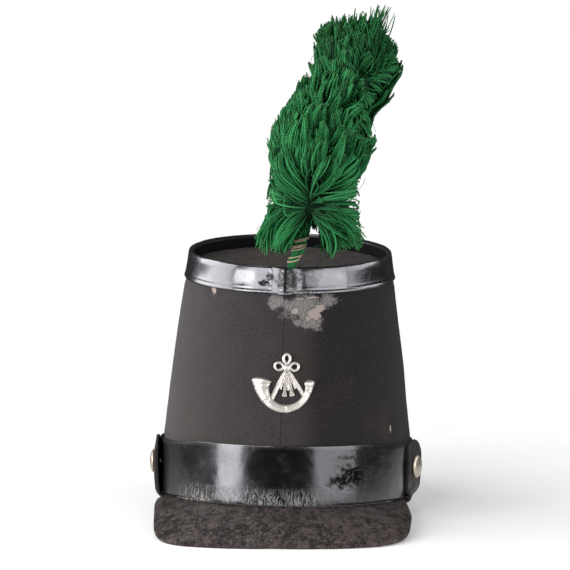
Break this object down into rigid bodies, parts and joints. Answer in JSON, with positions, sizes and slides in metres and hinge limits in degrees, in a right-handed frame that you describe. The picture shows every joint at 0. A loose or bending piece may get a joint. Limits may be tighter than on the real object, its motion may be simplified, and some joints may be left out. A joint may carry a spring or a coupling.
{
  "type": "shako hat",
  "caption": "Tapered oval shako in black cloth with patent leather bands, a leather peak, a chin strap, a horn badge and a green wool plume.",
  "frame": {"origin": "centre of the bounding box's bottom, on the surface that the hat rests on", "axes": "-Z down to that surface, -Y towards the front of the hat, where the peak, badge and plume are, +X to the right of someone who looks at the front"},
  "size_m": [0.1858, 0.251, 0.3405],
  "materials": {
    "cloth": "matte worn wool cloth",
    "patent": "glossy cracked patent leather",
    "crown_leather": "dull leather",
    "peak_leather": "worn crackled leather",
    "strap_leather": "dull leather",
    "stud_metal": "aged nickel",
    "badge_metal": "satin white metal",
    "wool": "twisted wool yarn",
    "cane": "dry cane"
  },
  "bodies": {
    "root": {"body": "cloth", "lower_band": "patent", "top_band": "patent", "crown_top": "crown_leather", "peak": "peak_leather", "chin_strap": "strap_leather", "stud_left": "stud_metal", "stud_right": "stud_metal", "horn_badge": "badge_metal", "plume_stem": "cane", "plume": "wool"}
  },
  "joints": []
}
